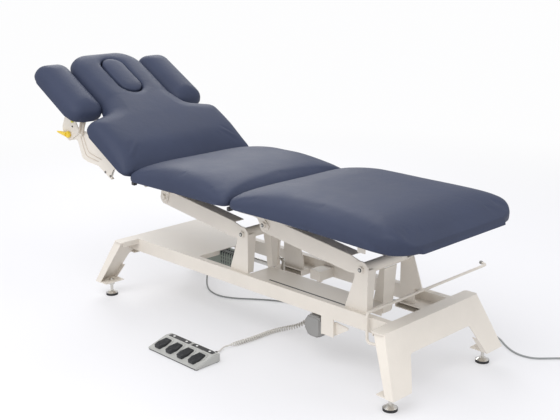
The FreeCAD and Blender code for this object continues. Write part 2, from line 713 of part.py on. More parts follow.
def back_frame():
    hinge_s = -18.25
    hinge_n = HINGE_Z - PAD_UNDER
    n0 = TUBE_TOP - TUBE_HEIGHT - PAD_UNDER
    n1 = TUBE_TOP - PAD_UNDER
    parts = []
    for side in (-1, 1):
        c = side * WING_TUBE_Y
        h = TUBE_WIDTH / 2
        outer = back_box(hinge_s - 12, 322, c - h, c + h, n0, n1)
        hollow = back_box(hinge_s - 20, 330, c - h + 2.5, c + h - 2.5, n0 + 2.5, n1 - 2.5)
        notch = back_box(hinge_s - 20, 8, c - h - 1, c + h + 1, hinge_n + 7, 0)
        tube = outer.cut(hollow).cut(notch)
        bush = cyl(-hinge_s, c - h, hinge_n, HINGE_PIN + 3, 2 * h, vec(0, 1, 0))
        bore = cyl(-hinge_s, c - 2 * h, hinge_n, HINGE_PIN + RUNNING_FIT, 4 * h, vec(0, 1, 0))
        parts.append(tube.fuse(bush).cut(bore))
        c = side * 130
        parts.append(tube_box(-700, -320, c - h, c + h, n0, n1, 2.5, "x"))
        parts.append(back_box(350, 386, c - 12, c + 12, n1 - 1, 0))
        parts.append(back_box(640, 676, c - 12, c + 12, n1 - 1, 0))
        c = side * WING_TUBE_Y
        parts.append(back_box(90, 126, c - 12, c + 12, n1 - 1, 0))
    inner = WING_TUBE_Y - TUBE_WIDTH / 2
    for s0 in (20, 292):
        parts.append(tube_box(-s0 - 30, -s0, -inner, inner, n0, n1, 2.5, "y"))
    parts.append(tube_box(-700, -670, -115, 115, n0, n1, 2.5, "y"))
    pin_s = -44.5
    pin_n = -74.1
    lever = prism_xz(flat([(22, -29), (46, -29), (28, -62), (-36, -86), (-58, -82), (-54, -62),
                           (-14, -50)]), 150, 156, [0, 0, 8, 8, 8, 8, 0])
    pin = cyl(-pin_s, 151, pin_n, 5, 17, vec(0, 1, 0))
    parts += [lever, pin]
    return union(parts)


def side_arm():
    t = -ARM_PLATE_T
    outline = [(143, -132), (143, -8), (250, -8), (300, -50), (380, -75), (470, -112), (480, -141),
               (462, -162), (435, -158), (400, -130), (339, -178), (301, -168), (235, -136)]
    radii = [0, 6, 20, 20, 20, 18, 14, 14, 10, 14, 14, 20, 20]
    plate = prism_xz(flat(outline), t - SHEET, t, radii)
    ring = prism_xz(flat(outline), t - 1, t + 11, radii)
    hollow = prism_xz(flat([(130, -128), (130, -12), (248, -12), (298, -54), (378, -79), (392, -84),
                            (392, -131), (339, -173.5), (302, -164), (236, -132)]),
                      t - 2, t + 14, [0, 0, 18, 18, 0, 0, 0, 10, 18, 18])
    rim = ring.cut(hollow).cut(back_box(390, 500, -300, -200, -200, 0))
    pivot = cyl(-HUB_S, t - 20, HUB_N, 6, 22, vec(0, 1, 0))
    return union([plate, rim, pivot])


def rest_bracket():
    """Sector plate of one armrest with its two posts and the strap under the pad."""
    t0 = -ARM_PLATE_T - SHEET - SIDE_GAP - SHEET
    t1 = t0 + SHEET
    outline = [(400, -98), (378, -98), (378, -86), (403, -84), (440, -66), (470, -66), (511, -87),
               (508, -150), (470, -168), (440, -166)]
    plate = prism_xz(flat(outline), t0, t1, [0, 2, 2, 10, 10, 10, 12, 26, 12, 8])
    parts = [plate]
    for s0 in (380, 399):
        parts.append(back_box(s0, s0 + 10, t0, t1, -95, -15))
    parts.append(back_box(374, 560, t0, t0 + 60, -19, -15))
    body = union(parts)
    return body.cut(cyl(-HUB_S, t0 - 2, HUB_N, 6 + RUNNING_FIT, 10, vec(0, 1, 0)))


def rest_pad():
    neck = (REST_T1 - REST_T0) / 2 - 0.5
    body = prism_xy([(-REST_S0, -REST_T0), (-REST_S1, -REST_T0), (-REST_S1, -REST_T1),
                     (-REST_S0, -REST_T1)], -15, 45, [neck, 60, 72, neck])
    rim = []
    for edge in body.Edges:
        if edge.BoundBox.ZMin > 44.9:
            rim.append(edge)
    return body.makeFillet(20, rim)


def clamp_lever():
    t0 = -ARM_PLATE_T - 2 * SHEET - SIDE_GAP - 0.4
    hub = cyl(-HUB_S, t0 - 14, HUB_N, 13, 14, vec(0, 1, 0))
    handle = prism_xz(flat([(450, -131), (500, -133), (522, -141), (522, -149), (500, -149),
                            (450, -153)]), t0 - 13, t0 - 4, [0, 10, 3, 3, 10, 0])
    body = union([hub, handle])
    return body.cut(cyl(-HUB_S, t0 - 30, HUB_N, 6 + RUNNING_FIT, 40, vec(0, 1, 0)))


# Boxes, holder rod and foot switch

def build_boxes():
    body = box(287, 362, -178, -118, 101, 177)
    front = []
    for edge in body.Edges:
        b = edge.BoundBox
        if b.YMax < -177 or (b.YLength > 50):
            front.append(edge)
    add("junction_box", body.makeFillet(9, front))
    plate = box(366, 417, -172, -168, 123, 187)
    cheek = box(362, 366, -172, -120, 121, 187)
    gusset = prism_xz([(416, 174), (470, 168), (470, 160), (416, 126)], -160, -156)
    tie = box(410, 417, -169, -156, 128, 172)
    add("box_bracket", union([plate, cheek, gusset, tie]))
    start = vec(slab_x(ROD_START_Z) - 12.5, ROD_RUN_Y, ROD_START_Z)
    path = cord_wire([start, vec(640, ROD_RUN_Y, ROD_START_Z), vec(574, ROD_RUN_Y, 156),
                      vec(570, ROD_RUN_Y, 257), vec(570, 496, 257), vec(545, 503, 258)],
                     [14, 14, 14, 14, 9])
    add("roll_rod", sweep(path, 4.95, start, vec(-1, 0, 0)))
    control = box(-600, -460, -30, 125, 172, 236)
    edges = []
    for edge in control.Edges:
        if edge.BoundBox.ZMax < 173 or edge.BoundBox.ZLength > 50:
            edges.append(edge)
    control = control.makeFillet(6, edges)
    gland = cyl(-540, 100, 158, 9, 15, vec(0, 0, 1))
    socket = box(85, 135, 70, RAIL_INNER_Y, 190, 226)
    collar = cyl(110, 95, 178, 11, 13, vec(0, 0, 1))
    add("control_boxes", many([union([control, gland]), union([socket, collar])]))


def build_switch():
    z_back = 32.0
    z_front = 20.0
    profile = [(SWITCH_Y0, 0), (SWITCH_Y1, 0), (SWITCH_Y1, z_back), (SWITCH_Y0, z_front)]
    body = prism_yz(profile, SWITCH_X0, SWITCH_X1, [0, 0, 5, 8])
    centre = (SWITCH_X0 + SWITCH_X1) / 2
    y_axis = SWITCH_Y1 - 30.0
    for i in range(PEDAL_COUNT):
        x = centre + (i - (PEDAL_COUNT - 1) / 2) * PEDAL_PITCH
        w = PEDAL_WIDTH / 2
        pocket = box(x - w - 2, x + w + 2, SWITCH_Y0 + 9, y_axis + 8, 9, 50)
        body = body.cut(pocket)
        body = body.cut(cyl(x - w - 4.5, y_axis, 24, 2.06, 2 * w + 9, vec(1, 0, 0)))
        front = SWITCH_Y0 + 11
        plate = prism_yz([(front, 17), (y_axis + 3, 22), (y_axis + 5, 27), (y_axis, 34), (front, 27)],
                         x - w, x + w, [2, 2, 2, 3, 3])
        plan = prism_xy([(x - w, y_axis + 10), (x + w, y_axis + 10), (x + w, front + 22),
                         (x + w - 9, front - 1), (x - w + 9, front - 1), (x - w, front + 22)],
                        0, 60, [0, 0, 8, 4, 4, 8])
        pedal = plate.common(plan)
        axle = cyl(x - w - 4, y_axis, 24, 2, 2 * w + 8, vec(1, 0, 0))
        add("pedal_%d" % (i + 1), union([pedal, axle]))
    gland = cyl(40, SWITCH_Y1, 14, 5, 8, vec(0, 1, 0))
    add("switch_housing", union([body, gland]))


# Free cords

def cord_wire(points, radii=None):
    """Straight runs joined by tangent arcs."""
    edges = []
    start = points[0]
    used = []
    for i in range(1, len(points) - 1):
        p = points[i]
        u = points[i - 1] - p
        w = points[i + 1] - p
        short = min(u.Length, w.Length)
        u.normalize()
        w.normalize()
        half = u.getAngle(w) / 2
        turn = math.pi - 2 * half
        r = radii[i - 1] if radii else 0.45 * short / math.tan(turn / 2)
        reach = r * math.tan(turn / 2)
        axis = (u + w).normalize()
        a = p + u * reach
        b = p + w * reach
        centre = p + axis * (r / math.cos(turn / 2))
        mid = centre - axis * r
        edges.append(Part.LineSegment(start, a).toShape())
        edges.append(Part.Arc(a, mid, b).toShape())
        start = b
        used.append(round(r))
    edges.append(Part.LineSegment(start, points[-1]).toShape())
    print("bend radii", used)
    return Part.Wire(edges)


def sweep(path, radius, start, direction):
    ring = Part.Wire([Part.makeCircle(radius, start, direction)])
    return path.makePipeShell([ring], True, False)


def cord(name, points, radius):
    pts = []
    for p in points:
        pts.append(vec(*p))
    path = cord_wire(pts)
    solid = sweep(path, radius, pts[0], pts[1] - pts[0])
    expected = math.pi * radius * radius * path.Length
    print(name, "length", round(path.Length), "volume ratio", round(solid.Volume / expected, 4))
    add(name, solid)


MAINS_ROUTE = [
    (-540, 100, 158), (-541, 101, 120), (-546, 108, 82), (-549, 111, 44), (-540, 98, 16),
    (-506, 72, 4), (-456, 45, 4), (-390, 34, 4), (-326, 59, 4),
    (-266, 108, 4), (-200, 154, 4), (-115, 196, 4), (-48, 250, 4), (12, 322, 4), (58, 402, 4),
    (112, 478, 4), (172, 520, 4), (250, 517, 4), (330, 500, 4), (415, 493, 4), (500, 497, 4),
    (585, 492, 4), (661, 468, 4), (720, 418, 4), (785, 383, 4), (845, 390, 4), (882, 428, 4),
    (911, 460, 4), (944, 482, 4), (975, 490, 4)]
LEAD_ROUTE = [(40, -380, 14), (40, -364, 14), (35, -343, 8), (24, -325, 6), (18.865, -306.2, 9.6),
              (22, -290, 9.6)]
CURLY_ROUTE = [(22, -290, 9.6), (34, -228, 9.6), (39, -162, 9.6), (38, -96, 9.6), (51, -34, 9.6),
               (80, 26, 12), (102, 68, 46), (110, 95, 108), (110, 95, 178)]


def build_cords():
    cord("mains_cable", MAINS_ROUTE, MAINS_R)
    cord("switch_lead", LEAD_ROUTE, LEAD_R)
    cord("curly_cord", CURLY_ROUTE, CURLY_R)
    end = MAINS_ROUTE[-1]
    x = end[0] + COIL_R
    y = end[1]
    coil = cyl(x, y, 0.5, COIL_R, 18, vec(0, 0, 1)).cut(cyl(x, y, 0, COIL_BORE, 30, vec(0, 0, 1)))
    rim = []
    for edge in coil.Edges:
        if edge.Length > 100 and edge.BoundBox.ZLength < 1:
            rim.append(edge)
    add("mains_coil", coil.makeFillet(6, rim))
    x0 = x + COIL_R
    x1 = x0 + PLUG_LENGTH
    body = prism_xy([(x0, y - 16), (x1, y - 16), (x1, y + 16), (x0, y + 16)], 2, 30, [10, 6, 6, 10])
    pins = []
    for side in (-1, 1):
        pins.append(cyl(x1 - 1, y + side * PLUG_PITCH / 2, 16, 2.4, 19, vec(1, 0, 0)))
    add("mains_plug", union([body] + pins))


def main():
    build_ends()
    build_base()
    build_lift()
    build_drive()
    build_seat()
    build_pads()
    build_leg()
    build_back()
    build_boxes()
    build_switch()
    build_cords()
    os.makedirs("parts", exist_ok=True)
    cords = ("mains_cable", "mains_coil", "mains_plug", "switch_lead", "curly_cord")
    whole = None
    for name in sorted(NODES):
        shape = NODES[name]
        shape.translate(ORIGIN)
        for solid in shape.Solids:
            if not solid.isValid() or solid.Volume <= 0:
                print("CHECK", name, solid.isValid(), round(solid.Volume))
        shape.exportStep("parts/%s.step" % name)
        if name not in cords:
            b = shape.BoundBox
            if whole is None:
                whole = FreeCAD.BoundBox(b)
            whole.add(b)
        print(name, len(shape.Solids), "solids", round(shape.Volume))
    print("pieces", len(NODES))
    print("box", whole)
    print("centre", round(whole.Center.x, 3), round(whole.Center.y, 3), "bottom", whole.ZMin)


main()
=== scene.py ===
import bpy
import bmesh
import math
import numpy as np
from mathutils import Vector, Matrix


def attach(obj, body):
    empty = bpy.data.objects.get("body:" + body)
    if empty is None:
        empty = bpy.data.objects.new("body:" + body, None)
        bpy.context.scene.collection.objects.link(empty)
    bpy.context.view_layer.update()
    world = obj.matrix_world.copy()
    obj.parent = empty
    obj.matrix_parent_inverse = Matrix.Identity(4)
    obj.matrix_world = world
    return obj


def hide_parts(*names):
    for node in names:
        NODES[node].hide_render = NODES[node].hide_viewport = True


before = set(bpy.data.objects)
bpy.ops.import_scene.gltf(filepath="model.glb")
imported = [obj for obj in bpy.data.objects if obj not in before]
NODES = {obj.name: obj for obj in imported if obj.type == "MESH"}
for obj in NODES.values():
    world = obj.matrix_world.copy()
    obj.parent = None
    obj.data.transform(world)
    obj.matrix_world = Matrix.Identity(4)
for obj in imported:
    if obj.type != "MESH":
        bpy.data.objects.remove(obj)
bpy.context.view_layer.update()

# The photo's camera was solved in a frame centred on the base; the part's frame is moved by this much.
OX = 0.15761
OY = -0.00538
TILT = math.radians(30)
HINGE = Vector((-0.4922 + OX, OY, 0.513))


def at(x, y, z):
    """A place given in millimetres in the base frame, in metres in the part's frame."""
    return Vector((x / 1000 + OX, y / 1000 + OY, z / 1000))


BACK = (Matrix.Translation(HINGE) @ Matrix.Rotation(TILT, 4, "Y")
        @ Matrix.Translation(Vector((-0.01825, 0, 0.016))))


def back_at(s, t, n):
    """A place on the back section: s towards the head, t across, n up from the pad's underside."""
    return BACK @ Vector((-s / 1000, t / 1000, n / 1000))


# Materials

def new_material(name):
    m = bpy.data.materials.new(name)
    m.use_nodes = True
    nt = m.node_tree
    nt.nodes.clear()
    out = nt.nodes.new("ShaderNodeOutputMaterial")
    shader = nt.nodes.new("ShaderNodeBsdfPrincipled")
    nt.links.new(shader.outputs[0], out.inputs[0])
    return m, nt, shader


def noise(nt, scale, detail=3.0, rough=0.5, stretch=None):
    coord = nt.nodes.new("ShaderNodeTexCoord")
    tex = nt.nodes.new("ShaderNodeTexNoise")
    tex.inputs["Scale"].default_value = scale
    tex.inputs["Detail"].default_value = detail
    tex.inputs["Roughness"].default_value = rough
    if stretch:
        mapping = nt.nodes.new("ShaderNodeMapping")
        mapping.inputs["Scale"].default_value = stretch
        nt.links.new(coord.outputs["Object"], mapping.inputs[0])
        nt.links.new(mapping.outputs[0], tex.inputs["Vector"])
    else:
        nt.links.new(coord.outputs["Object"], tex.inputs["Vector"])
    return tex


def ramp(nt, source, low, high, a, b):
    node = nt.nodes.new("ShaderNodeValToRGB")
    node.color_ramp.elements[0].position = low
    node.color_ramp.elements[1].position = high
    node.color_ramp.elements[0].color = (*a, 1)
    node.color_ramp.elements[1].color = (*b, 1)
    nt.links.new(source, node.inputs[0])
    return node


def shade(c, k):
    return tuple(min(1.0, v * k) for v in c)


def bump(nt, shader, height, strength, distance, chain=None):
    node = nt.nodes.new("ShaderNodeBump")
    node.inputs["Strength"].default_value = strength
    node.inputs["Distance"].default_value = distance
    nt.links.new(height, node.inputs["Height"])
    if chain is not None:
        nt.links.new(chain.outputs[0], node.inputs["Normal"])
    nt.links.new(node.outputs[0], shader.inputs["Normal"])
    return node


def range_to(nt, source, low, high):
    node = nt.nodes.new("ShaderNodeMapRange")
    node.inputs["From Min"].default_value = 0.3
    node.inputs["From Max"].default_value = 0.7
    node.inputs["To Min"].default_value = low
    node.inputs["To Max"].default_value = high
    nt.links.new(source, node.inputs["Value"])
    return node


def coated(name, color, rough=0.42, metallic=0.0, vary=0.05, grain=900.0, bump_d=0.00005,
           cloud=9.0):
    m, nt, sh = new_material(name)
    big = noise(nt, cloud, 4.0, 0.6)
    col = ramp(nt, big.outputs["Fac"], 0.3, 0.7, shade(color, 1 - vary), shade(color, 1 + vary))
    nt.links.new(col.outputs[0], sh.inputs["Base Color"])
    fine = noise(nt, grain, 2.0, 0.5)
    bump(nt, sh, fine.outputs["Fac"], 0.5, bump_d)
    rr = range_to(nt, big.outputs["Fac"], rough * 0.9, rough * 1.12)
    nt.links.new(rr.outputs[0], sh.inputs["Roughness"])
    sh.inputs["Metallic"].default_value = metallic
    return m


def vinyl(name, color):
    m, nt, sh = new_material(name)
    big = noise(nt, 5.0, 4.0, 0.6)
    col = ramp(nt, big.outputs["Fac"], 0.3, 0.7, shade(color, 0.93), shade(color, 1.07))
    nt.links.new(col.outputs[0], sh.inputs["Base Color"])
    coord = nt.nodes.new("ShaderNodeTexCoord")
    cell = nt.nodes.new("ShaderNodeTexVoronoi")
    cell.feature = "DISTANCE_TO_EDGE"
    cell.inputs["Scale"].default_value = 420.0
    nt.links.new(coord.outputs["Object"], cell.inputs["Vector"])
    low = noise(nt, 26.0, 3.0, 0.55)
    first = bump(nt, sh, low.outputs["Fac"], 0.35, 0.0022)
    bump(nt, sh, cell.outputs["Distance"], 0.35, 0.0004, first)
    rr = range_to(nt, big.outputs["Fac"], 0.46, 0.56)
    nt.links.new(rr.outputs[0], sh.inputs["Roughness"])
    sh.inputs["Specular IOR Level"].default_value = 0.15
    return m


def brushed(name, color, rough=0.3, stretch=(4, 90, 90)):
    m, nt, sh = new_material(name)
    tex = noise(nt, 60.0, 3.0, 0.5, stretch)
    col = ramp(nt, tex.outputs["Fac"], 0.3, 0.7, shade(color, 0.9), shade(color, 1.08))
    nt.links.new(col.outputs[0], sh.inputs["Base Color"])
    rr = range_to(nt, tex.outputs["Fac"], rough * 0.8, rough * 1.25)
    nt.links.new(rr.outputs[0], sh.inputs["Roughness"])
    sh.inputs["Metallic"].default_value = 1.0
    bump(nt, sh, tex.outputs["Fac"], 0.15, 0.00004)
    return m


M = {
    "cream": coated("cream_powder_coat", (0.72, 0.67, 0.60), 0.42, vary=0.03, grain=700.0,
                    bump_d=0.00008),
    "vinyl": vinyl("navy_vinyl", (0.040, 0.049, 0.084)),
    "zinc": brushed("zinc_steel", (0.60, 0.59, 0.56), 0.34),
    "nickel": brushed("nickel_steel", (0.66, 0.64, 0.60), 0.25),
    "rubber": coated("black_rubber", (0.022, 0.022, 0.023), 0.62, vary=0.2),
    "motor": coated("motor_housing", (0.20, 0.23, 0.20), 0.5, vary=0.08),
    "black": coated("black_enamel", (0.018, 0.018, 0.02), 0.3, vary=0.15),
    "grey": coated("grey_plastic", (0.265, 0.26, 0.25), 0.45, vary=0.06),
    "switch": coated("switch_plastic", (0.42, 0.42, 0.40), 0.5, vary=0.05),
    "pedal": coated("pedal_rubber", (0.03, 0.031, 0.034), 0.5, vary=0.2),
    "yellow": coated("yellow_plastic", (0.80, 0.56, 0.04), 0.35, vary=0.05),
    "cable": coated("mains_cable_grey", (0.26, 0.27, 0.27), 0.5, vary=0.1),
    "curly": coated("curly_cord_grey", (0.58, 0.56, 0.52), 0.5, vary=0.08),
    # dark_plastic_and_slot_shade also serves as painted shade in the tray slot and the arm slot.
    "dark": coated("dark_plastic_and_slot_shade", (0.03, 0.03, 0.033), 0.45, vary=0.15),
    "white": coated("white_plastic", (0.75, 0.75, 0.73), 0.4, vary=0.03),
    # tan: a darker, warmer copy of the cream coat, painted shade for the armrest posts and the fold ribs
    "tan": coated("cream_coat_painted_shade", (0.56, 0.49, 0.41), 0.45, vary=0.05),
    "bolt": brushed("dark_bolt_steel", (0.20, 0.19, 0.18), 0.35),
    "knob": coated("knob_plastic", (0.66, 0.62, 0.10), 0.4, vary=0.06),
}

FINISH = {
    "zinc": ["hinge_pins", "lift_rod", "back_rod", "leg_rod"],
    "nickel": ["foot_studs"],
    "rubber": ["foot_pads"],
    "motor": ["lift_motor", "back_motor"],
    "black": ["leg_spring"],
    "grey": ["junction_box"],
    "switch": ["switch_housing"],
    "pedal": ["pedal_1", "pedal_2", "pedal_3", "pedal_4"],
    "yellow": ["clamp_lever_near", "clamp_lever_far"],
    "cable": ["mains_cable", "mains_coil", "mains_plug"],
    "curly": ["curly_cord", "switch_lead"],
    "vinyl": ["seat_pad", "leg_pad", "back_pad", "rest_pad_near", "rest_pad_far", "face_plug"],
}


def paint(obj, mat):
    obj.data.materials.clear()
    obj.data.materials.append(mat)


placed = {}
for key, names in FINISH.items():
    for n in names:
        placed[n] = key
for n, o in NODES.items():
    paint(o, M[placed.get(n, "cream")])


# Camera

cam_data = bpy.data.cameras.new("photo_camera")
cam_data.sensor_width = 36.0
cam_data.lens = 959.6 / 560 * 36.0
cam_data.clip_start = 0.05
cam_data.clip_end = 60.0
cam = bpy.data.objects.new("photo_camera", cam_data)
cam.location = Vector((2.3925 + OX, -2.4118 + OY, 1.3853))
cam.rotation_euler = (math.radians(90 - 15.37), 0, math.radians(44.82))
bpy.context.scene.collection.objects.link(cam)
bpy.context.scene.camera = cam



# Cords

MAINS_R = 0.0033
WIRE_R = 0.0028
HELIX_R = 0.0066
HELIX_PITCH = 0.0098
HELIX_FADE = 0.036
COIL_CENTRE = (1014, 490)
COIL_OUTER = 35.4
COIL_INNER = 27.8

MAINS_ROUTE = [
    (-540, 100, 158), (-541, 101, 120), (-546, 108, 82), (-549, 111, 44), (-540, 98, 16),
    (-506, 72, 4), (-456, 45, 4), (-390, 34, 4), (-326, 59, 4),
    (-266, 108, 4), (-200, 154, 4), (-115, 196, 4), (-48, 250, 4), (12, 322, 4), (58, 402, 4),
    (112, 478, 4), (172, 520, 4), (250, 517, 4), (330, 500, 4), (415, 493, 4), (500, 497, 4),
    (585, 492, 4), (661, 468, 4), (720, 418, 4), (785, 383, 4), (845, 390, 4), (882, 428, 4),
    (911, 460, 4), (944, 482, 4), (968, 494, 4)]
LEAD_ROUTE = [(40, -380, 14), (40, -364, 14), (35, -343, 8), (24, -325, 6), (18.865, -306.2, 9.6),
              (22, -290, 9.6)]
CURLY_ROUTE = [(22, -290, 9.6), (34, -228, 9.6), (39, -162, 9.6), (38, -96, 9.6), (51, -34, 9.6),
               (80, 26, 12), (102, 68, 46), (110, 95, 108), (110, 95, 178)]
PLUG_ENTRY = (1053, 490, 17)


def route_curve(name, points, radius, resolution=10):
    """Open NURBS spline through space with the points as its control points."""
    data = bpy.data.curves.new(name, "CURVE")
    data.dimensions = "3D"
    data.resolution_u = resolution
    spline = data.splines.new("NURBS")
    spline.points.add(len(points) - 1)
    for i, p in enumerate(points):
        spline.points[i].co = (*p, 1)
    spline.order_u = 3
    spline.use_endpoint_u = True
    data.bevel_depth = radius
    data.bevel_resolution = 4
    data.use_fill_caps = True
    obj = bpy.data.objects.new(name, data)
    bpy.context.scene.collection.objects.link(obj)
    return obj


def line_of(points, resolution=24):
    """The smooth line of a route, as points in metres."""
    obj = route_curve("line", points, 0.0, resolution)
    bpy.context.view_layer.update()
    dg = bpy.context.evaluated_depsgraph_get()
    mesh = bpy.data.meshes.new_from_object(obj.evaluated_get(dg))
    line = [v.co.copy() for v in mesh.vertices]
    bpy.data.objects.remove(obj)
    return line


def length_of(line):
    return sum((b - a).length for a, b in zip(line, line[1:]))


def coil_turns():
    """Three turns of the mains cable, wound clockwise, then over the top to the plug."""
    points = []
    cx, cy = COIL_CENTRE
    steps = 12
    for k in range(1, 3 * steps - 1):
        turn = k / steps
        angle = math.radians(135 - 360 * turn)
        r = COIL_OUTER - (COIL_OUTER - COIL_INNER) * min(1, max(0, (turn - 1.7) / 0.3))
        z = 4 + 6.7 * min(1, turn)
        points.append((cx + r * math.cos(angle), cy + r * math.sin(angle), z))
    points += [(cx + 2, cy + 26, 11), (cx + 14, cy + 20, 14), (cx + 22, cy + 8, 17.4),
               (cx + 31, cy + 1, 18.6)]
    points.append(PLUG_ENTRY)
    return points


def tube_along(name, line, radii, mat, sides=20):
    """Round sleeve along a line, with one radius for each of its points."""
    bm = bmesh.new()
    rings = []
    for i, p in enumerate(line):
        ahead = line[min(i + 1, len(line) - 1)] - line[max(i - 1, 0)]
        q = ahead.to_track_quat("Z", "Y")
        ring = []
        for k in range(sides):
            a = 2 * math.pi * k / sides
            ring.append(bm.verts.new(p + q @ Vector((radii[i] * math.cos(a), radii[i] * math.sin(a), 0))))
        rings.append(ring)
    for a, b in zip(rings, rings[1:]):
        for k in range(sides):
            bm.faces.new((a[k], a[(k + 1) % sides], b[(k + 1) % sides], b[k]))
    bm.faces.new(list(reversed(rings[0])))
    bm.faces.new(rings[-1])
    mesh = bpy.data.meshes.new(name)
    bm.to_mesh(mesh)
    bm.free()
    for face in mesh.polygons:
        face.use_smooth = len(face.vertices) == 4
    obj = bpy.data.objects.new(name, mesh)
    bpy.context.scene.collection.objects.link(obj)
    paint(obj, mat)
    return obj


def sleeve(name, line, reach, r0, r1, mat):
    """Tapered, ribbed strain relief over the first stretch of a cord's line."""
    part = [line[0]]
    run = 0.0
    for a, b in zip(line, line[1:]):
        run += (b - a).length
        part.append(b)
        if run > reach:
            break
    even = []
    count = 25
    total = length_of(part)
    for k in range(count):
        even.append(along(part, total * k / (count - 1)))
    radii = []
    for k in range(count):
        rib = 0.82 if k % 4 == 3 else 1.0
        radii.append((r0 + (r1 - r0) * k / (count - 1)) * rib)
    return tube_along(name, even, radii, mat)


def along(line, s):
    """The place at the distance s along a line of points."""
    for a, b in zip(line, line[1:]):
        step = (b - a).length
        if s <= step:
            return a.lerp(b, s / step if step else 0)
        s -= step
    return line[-1].copy()


def helix_points(line, s0, s1, per_turn=8):
    """Control points of a helix round a line, which fades into the line at both ends."""
    points = []
    count = int((s1 - s0) / HELIX_PITCH * per_turn)
    side = Vector((0, 0, 1))
    for i in range(count + 1):
        s = s0 + (s1 - s0) * i / count
        p = along(line, s)
        ahead = (along(line, s + 0.002) - along(line, max(0, s - 0.002))).normalized()
        side = (side - ahead * side.dot(ahead)).normalized()
        third = ahead.cross(side)
        fade = min(1, (s - s0) / HELIX_FADE, (s1 - s) / HELIX_FADE)
        r = HELIX_R * math.sin(fade * math.pi / 2) * 1.03
        a = 2 * math.pi * i / per_turn
        points.append(p + side * (r * math.cos(a)) + third * (r * math.sin(a)))
    return points


def make_cords():
    route = [at(*p) for p in MAINS_ROUTE + coil_turns()]
    mains = route_curve("mains_cable_line", route, MAINS_R)
    paint(mains, M["cable"])
    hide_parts("mains_cable", "mains_coil")
    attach(mains, "base")
    line = line_of(route)
    print("mains length", round(length_of(line), 3))
    gland = sleeve("mains_gland_sleeve", line, 0.034, 0.0062, 0.0042, M["dark"])
    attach(gland, "base")
    back = list(reversed(line))
    relief = sleeve("plug_sleeve", back, 0.022, 0.0050, 0.0037, M["cable"])
    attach(relief, "base")
    curly = [at(*p) for p in reversed(CURLY_ROUTE)]
    centre = line_of(curly)
    total = length_of(centre)
    lead = [at(*p) for p in reversed(LEAD_ROUTE)]
    wire = curly[:1] + [along(centre, 0.012)] + helix_points(centre, 0.026, total - 0.006) + lead
    cord = route_curve("foot_switch_cord", wire, WIRE_R, 4)
    paint(cord, M["curly"])
    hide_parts("switch_lead", "curly_cord")
    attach(cord, "base")
    wire_line = line_of(wire, 8)
    print("switch cord length", round(length_of(wire_line), 3))
    top = sleeve("socket_sleeve", centre, 0.024, 0.0052, 0.0032, M["dark"])
    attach(top, "base")
    end = sleeve("switch_sleeve", list(reversed(line_of(lead))), 0.022, 0.0046, 0.0031, M["dark"])
    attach(end, "base")


make_cords()


# Solids drawn from an outline

def prism(name, outline, low, high, mat, body, axis="z", matrix=None, bevel=0.0, segments=2):
    """Solid of an outline in millimetres, drawn across one axis from low to high, with eased edges."""
    bm = bmesh.new()
    verts = []
    for a, b in outline:
        co = {"x": (low, a, b), "y": (a, low, b), "z": (a, b, low)}[axis]
        verts.append(bm.verts.new([v / 1000 for v in co]))
    face = bm.faces.new(verts)
    made = bmesh.ops.extrude_face_region(bm, geom=[face])
    lifted = [e for e in made["geom"] if isinstance(e, bmesh.types.BMVert)]
    step = Vector((axis == "x", axis == "y", axis == "z")) * ((high - low) / 1000)
    bmesh.ops.translate(bm, verts=lifted, vec=step)
    bmesh.ops.recalc_face_normals(bm, faces=bm.faces[:])
    if bevel:
        bmesh.ops.bevel(bm, geom=bm.edges[:], offset=bevel / 1000, segments=segments, affect="EDGES",
                        clamp_overlap=True)
    mesh = bpy.data.meshes.new(name)
    bm.to_mesh(mesh)
    bm.free()
    mesh.transform(matrix or Matrix.Translation(Vector((OX, OY, 0))))
    obj = bpy.data.objects.new(name, mesh)
    bpy.context.scene.collection.objects.link(obj)
    paint(obj, mat)
    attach(obj, body)
    return obj


# Soft pads

PAD_UNDER = 0.529
PAD_HALF = 0.322
PAD_HIGH = 0.099
EDGE_HIGH = 0.014
CROWN_SIDE = 0.19
CROWN_END = 0.24
CROWN_HINGE = 0.080
SEAM_SHARE = 0.58
ROW = 0.006


def rounded(points, radii, step=0.006):
    """Closed outline with round corners, as points about step apart."""
    line = []
    count = len(points)
    for i, p in enumerate(points):
        p = Vector(p)
        u = (Vector(points[i - 1]) - p).normalized()
        w = (Vector(points[(i + 1) % count]) - p).normalized()
        half = u.angle(w) / 2
        r = radii[i]
        reach = r / math.tan(half)
        centre = p + (u + w).normalized() * (r / math.sin(half))
        a = p + u * reach - centre
        b = p + w * reach - centre
        turn = a.angle(b)
        n = max(2, int(r * turn / step))
        for k in range(n + 1):
            line.append(centre + a.slerp(b, k / n) * r)
    full = []
    for i, p in enumerate(line):
        q = line[(i + 1) % len(line)]
        n = max(1, int((q - p).length / step))
        for k in range(n):
            full.append(p.lerp(q, k / n))
    return full


def nearest(co, outline):
    """Distance of each point from a closed outline, and the nearest place on it."""
    ring = np.array([tuple(p) for p in outline])
    after = np.roll(ring, -1, axis=0)
    best = np.full(len(co), 9.0)
    place = np.zeros((len(co), 2))
    for a, b in zip(ring, after):
        ab = b - a
        k = np.clip(((co - a) @ ab) / max(ab @ ab, 1e-12), 0, 1)
        q = a + k[:, None] * ab
        d = np.linalg.norm(co - q, axis=1)
        near = d < best
        best[near] = d[near]
        place[near] = q[near]
    return best, place


